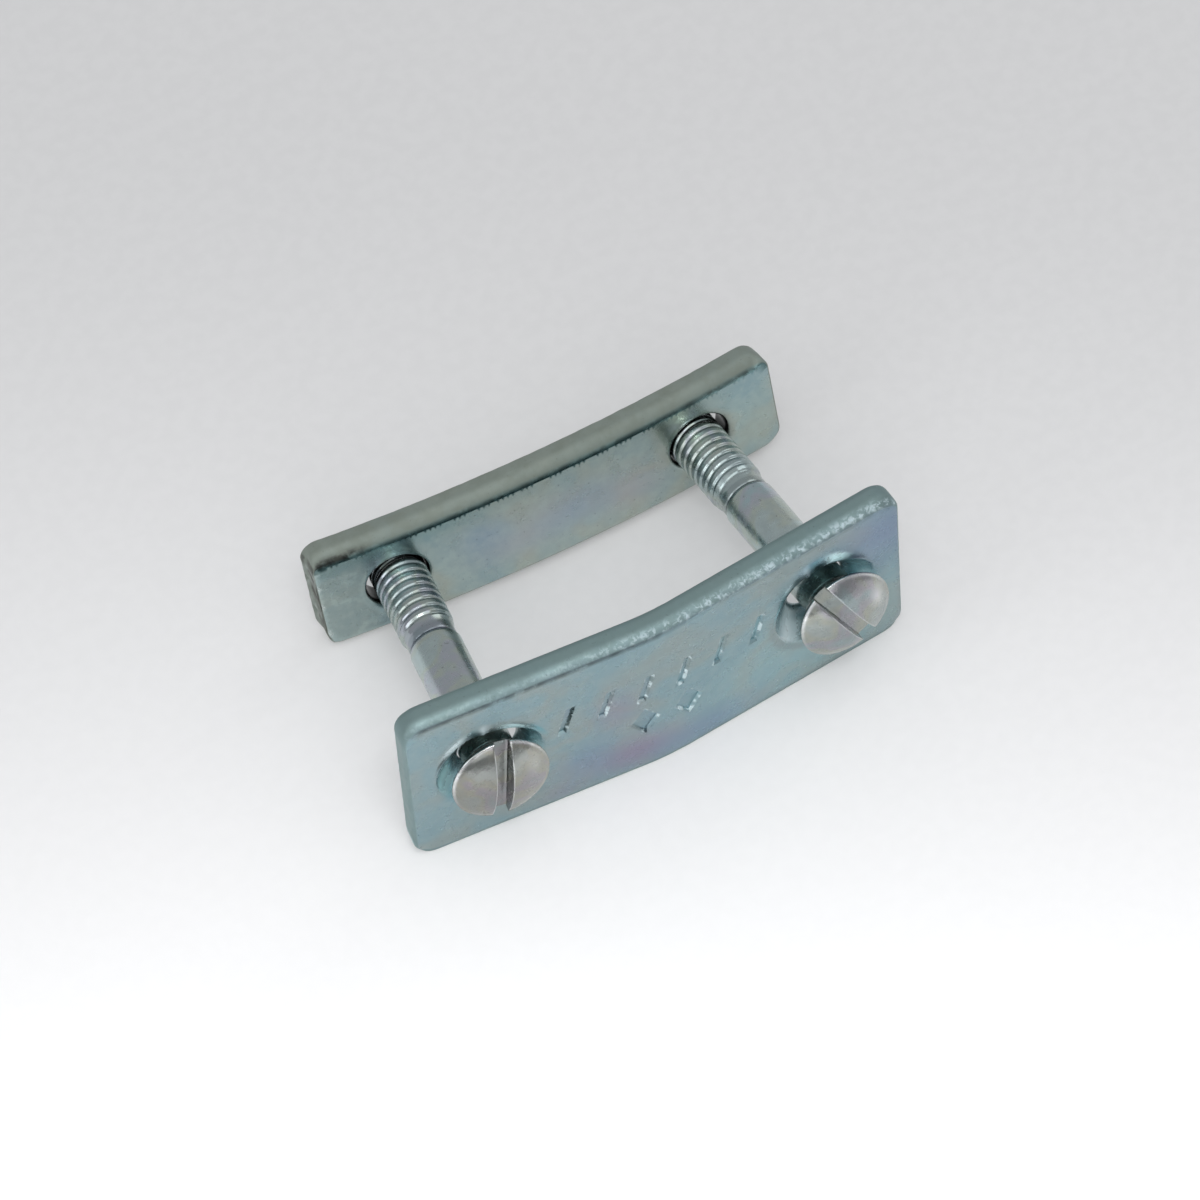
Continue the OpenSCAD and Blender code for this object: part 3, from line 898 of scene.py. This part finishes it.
def build_rear():
    verts, faces, kinds = plate_mesh(REAR_HALF, REAR_W, REAR_T, REAR_RC, REAR_RIM, [(-TAP_S, REAR_V), (TAP_S, REAR_V)], REAR_HOLE, rear_face_w, rear_back_w,
                                     [], 0.36, 0.2, rear_rim_bump, rear_ring_bump)
    keys = ("pink", "blue", "teal", "painted_highlight", "dirt_and_shade", "edge", "black_stain_and_shade", "cyan", "ripple_highlight")
    masks = {k: [] for k in keys}
    for (u, v, w), (kind, k) in zip(verts, kinds):
        m = dict.fromkeys(keys, 0.0)
        if kind in ("face", "rim"):
            m["pink"] = 0.5 * blob(u, v, 6.0, 3.0, 2.4, 1.6) + 0.4 * blob(u, v, -3.0, 3.0, 3.0, 1.4)
            m["blue"] = 0.55 * blob(u, v, 1.5, 4.0, 3.5, 1.8) + 0.4 * blob(u, v, -5.0, 5.0, 2.0, 1.5)
        if kind == "rim":
            m["edge"] = smooth(0, 2, k)
        # along the rear plate's top crease: a dark teal line, painted shade; near the left end a black smudge
        if kind == "rim" and v > REAR_W - 1.3 and k < 9:
            far = smooth(-12.0, -14.6, u) * smooth(-17.3, -16.6, u)
            if k < 2:
                m["dirt_and_shade"] = 0.5 + 0.35 * n1(u * 1.1, 2.0)
                m["teal"] = 0.8
            m["dirt_and_shade"] = max(m["dirt_and_shade"], far * math.exp(-((k - 1.4) / 1.5) ** 2))
            m["black_stain_and_shade"] = 0.9 * far * math.exp(-((k - 1.2) / 1.1) ** 2) * smooth(-0.35, 0.2, n1(u * 2.3, k * 0.5, 21.0))
            if k == 2:
                m["teal"] = 0.6
        # the sheared left end: darker rough patches, and painted highlights on its edges
        if kind == "rim" and u < -REAR_HALF + 0.8 and 0.7 < v < REAR_W - 0.7:
            rough = 0.5 + 0.5 * n1(v * 1.1, k * 0.35, 4.0)
            if k < 2:
                m["painted_highlight"] = 0.5 * smooth(0.45, 0.7, rough)
            elif k < 10:
                m["dirt_and_shade"] = 0.45 + 0.4 * smooth(0.4, 0.7, rough)
                m["black_stain_and_shade"] = 0.55 * smooth(0.5, 0.75, rough)
                m["painted_highlight"] = 0.6 * blob(v, 0, 6.9, 0, 0.7, 1)
            else:
                m["dirt_and_shade"] = 0.1 + 0.6 * smooth(0.5, 0.8, rough)
                m["painted_highlight"] = 0.35 * smooth(0.42, 0.25, rough)
        # painted shade inside the tapped bores
        if kind == "hole":
            m["dirt_and_shade"] = smooth(2, 5, k) * (1.0 if k < 13 else 0)
            m["black_stain_and_shade"] = smooth(3, 6, k) * (1.0 if k < 13 else 0)
        if kind == "face" and v > REAR_W - 2.6:
            m["teal"] = 0.4 * smooth(REAR_W - 2.6, REAR_W - 1.2, v) * smooth(2, -12, u)
        if kind == "face":
            m["dirt_and_shade"] = max(m["dirt_and_shade"], 0.2 * smooth(-8.0, -14.0, u))
            m["cyan"] = 0.1 * blob(u, v, 14.5, 4.5, 3.5, 4.0)
        for key in keys:
            masks[key].append(m[key])
    return make("rear_plate_detailed", [rear_place(*p) for p in verts], faces, masks, "rear_plate", "rear_plate", rear_mat)


def build_screw(side, slot_deg, tip, seed, name, mat):
    verts, faces, kinds, head_at = screw_mesh(slot_deg, tip, seed)
    ry = REAR_R - math.sqrt(REAR_R ** 2 - PITCH_X ** 2)
    m = TILTED @ Matrix.Translation((side * PITCH_X, ry, REAR_V)) @ turn(side * SPLAY, "Z") @ turn(90, "X") @ Matrix.Translation((0, 0, head_at)) @ turn(slot_deg, "Z")
    placed = [tuple(m @ Vector(p)) for p in verts]
    shine, under_head_shade, head, body = [], [], [], []
    for x, y, z in verts:
        r = math.hypot(x, y)
        deg = (math.degrees(math.atan2(y, x)) + slot_deg) % 360
        # painted highlights: rim glint, slot lip line and a dome spot, strongest on the right screw
        edge = smooth(3.22, 3.36, r) * smooth(-0.17, -0.09, z) * (1 if z < 0.16 else 0)
        glint = edge * (peak(deg, 140, 42) + 0.9 * peak(deg, 55, 30))
        lip = 0.55 * math.exp(-((abs(y) - 0.6) / 0.035) ** 2) * (1 if z > 0.0 else 0)
        px, py = r * math.cos(math.radians(deg)), r * math.sin(math.radians(deg))
        spot = (0.8 if side > 0 else 0.2) * math.exp(-((px - 2.35) / 0.55) ** 2 - ((py - 0.75) / 0.8) ** 2) * (1 if z > 0 else 0)
        shine.append(min(1.0, max(glint, lip, spot)) * (0.75 + 0.25 * n1(x * 2, y * 2, seed)))
        slot = abs(y) <= 0.6 and z > -0.57
        # painted shade on the cone under the head
        under_head_shade.append(0.0 if slot else smooth(-0.2, -0.34, z) * smooth(-3.4, -2.6, z) * 0.85)
        # painted shade: darker on the left of the head, lighter towards the right
        head.append((1.0 - 0.42 * smooth(-0.8, 3.2, r * math.cos(math.radians(deg)))) if z > -0.3 or slot else 0.0)
        body.append(0.0 if z > -0.6 else 1.0)
    return make(name + "_detailed", placed, faces, {"deep": kinds, "shine": shine, "under_head_shade": under_head_shade, "head": head, "body": body}, name, name, mat, sharp=42)


build_front()
build_rear()
build_screw(-1, 80, 2.6, 1.0, "screw_left", screw_mat_l)
build_screw(1, -64, 2.9, 6.0, "screw_right", screw_mat_r)

# ---------------------------------------------------------------- floor, light, camera

bpy.ops.mesh.primitive_plane_add(size=3.0, location=(0, 0.2, 0))
floor = bpy.context.object
floor.name = "floor"
ft = Tree("floor_paper")
grain = ft.noise(900, 2.0, 0.5)
split = ft.t.nodes.new("ShaderNodeSeparateXYZ")
swing = ft.t.nodes.new("ShaderNodeMapping")
swing.inputs["Rotation"].default_value = (0.0, 0.0, math.radians(33))
ft.link(ft.coord.outputs["Object"], swing.inputs["Vector"])
ft.link(swing.outputs["Vector"], split.inputs[0])
# painted light: the floor's colour darkens towards the back, standing in for lamp falloff
shade = ft.scalar(split.outputs["Y"], -0.205, -0.124, 0.0, 1.0)
fp = ft.t.nodes.new("ShaderNodeBsdfPrincipled")
fp.inputs["Roughness"].default_value = 0.9
fp.inputs["Specular IOR Level"].default_value = 0.1
painted_falloff = ft.mix(shade, (0.725, 0.727, 0.733), (0.51, 0.512, 0.518))
ft.link(ft.mix(ft.scalar(grain, 0.3, 0.7, 0.0, 0.06), painted_falloff, (0.86, 0.86, 0.87)), fp.inputs["Base Color"])
# painted light: the floor glows a little so that shadows around the pieces stay faint
fp.inputs["Emission Color"].default_value = (1.0, 1.0, 1.0, 1)
fp.inputs["Emission Strength"].default_value = 0.21
ft.link(fp.outputs["BSDF"], ft.out.inputs["Surface"])
floor.data.materials.append(ft.mat)


def area(name, loc, at, sx, sy, power, color=(1, 1, 1)):
    d = bpy.data.lights.new(name, "AREA")
    d.shape = "RECTANGLE"
    d.size, d.size_y, d.energy, d.color = sx, sy, power, color
    o = bpy.data.objects.new(name, d)
    bpy.context.scene.collection.objects.link(o)
    o.location = loc
    o.rotation_mode = "QUATERNION"
    o.rotation_quaternion = (Vector(at) - Vector(loc)).to_track_quat("-Z", "Y")
    return o


area("top_box", (0.0, -0.10, 0.38), (0, -0.005, 0), 0.42, 0.34, 0.40)
area("front_box", (-0.08, -0.32, 0.24), (0, -0.01, 0.0), 0.34, 0.20, 0.20)
area("left_box", (-0.28, -0.04, 0.20), (0, 0, 0.005), 0.16, 0.20, 0.17)
area("right_box", (0.26, 0.10, 0.20), (0, 0, 0.005), 0.12, 0.20, 0.08)
glow = area("floor_front", (-0.085, -0.125, 0.30), (-0.085, -0.1251, 0.0), 0.18, 0.05, 0.16)
glow.data.spread = math.radians(54)

world = bpy.data.worlds.new("studio")
bpy.context.scene.world = world
world.use_nodes = True
bg = world.node_tree.nodes["Background"]
bg.inputs["Color"].default_value = (0.97, 0.98, 1.0, 1)
bg.inputs["Strength"].default_value = 0.46

cam = bpy.data.cameras.new("camera")
cam.sensor_width = 36.0
cam.lens = 301.86
cam.clip_start, cam.clip_end = 0.05, 20.0
cam_obj = bpy.data.objects.new("camera", cam)
bpy.context.scene.collection.objects.link(cam_obj)
fwd = Vector((0.20116702, 0.45734431, -0.86623785))
up = Vector((0.426059, 0.75543435, 0.49778778))
aim = (fwd - up * (22 / 10062)).normalized()
right = aim.cross(up).normalized()
up2 = right.cross(aim)
cam_obj.matrix_world = Matrix(((right.x, up2.x, -aim.x, -0.1358964), (right.y, up2.y, -aim.y, -0.3101468), (right.z, up2.z, -aim.z, 0.5950536), (0, 0, 0, 1)))
bpy.context.scene.camera = cam_obj
bpy.context.scene.view_settings.view_transform = "Standard"
